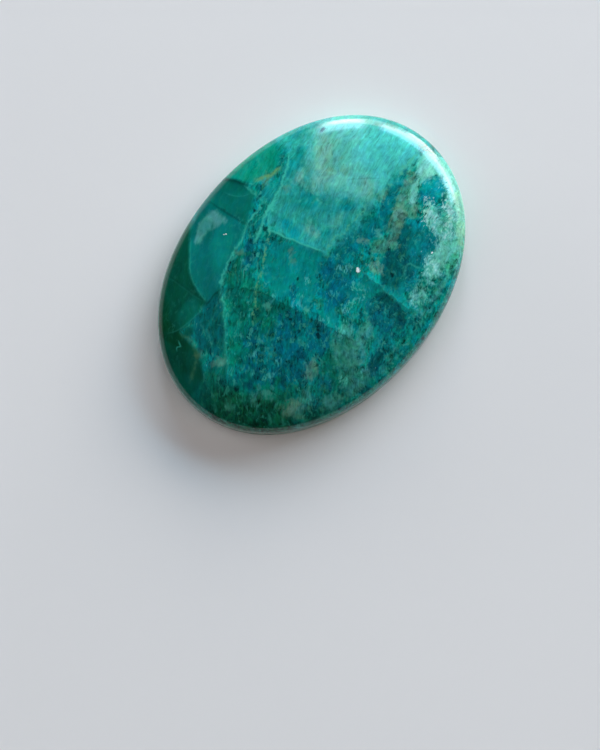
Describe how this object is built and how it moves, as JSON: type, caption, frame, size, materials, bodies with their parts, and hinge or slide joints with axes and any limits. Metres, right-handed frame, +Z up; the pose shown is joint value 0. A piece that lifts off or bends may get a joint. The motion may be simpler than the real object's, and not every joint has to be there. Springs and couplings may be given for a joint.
{
  "type": "polished shattuckite cabochon",
  "caption": "Hand-cut oval of polished blue-green stone: flat ground back with a bevelled edge, low girdle and a low dome with a steep shoulder.",
  "frame": {"origin": "middle of the flat back, which rests on the surface", "axes": "+X along the oval's length, +Y across its width, +Z up out of the dome"},
  "size_m": [0.0398, 0.029, 0.0052],
  "materials": {
    "polished_stone": "high polish on the dome, fine ground back; mottled blue-green with pale healed cracks"
  },
  "bodies": {
    "root": {"cabochon": "polished_stone"}
  },
  "joints": []
}
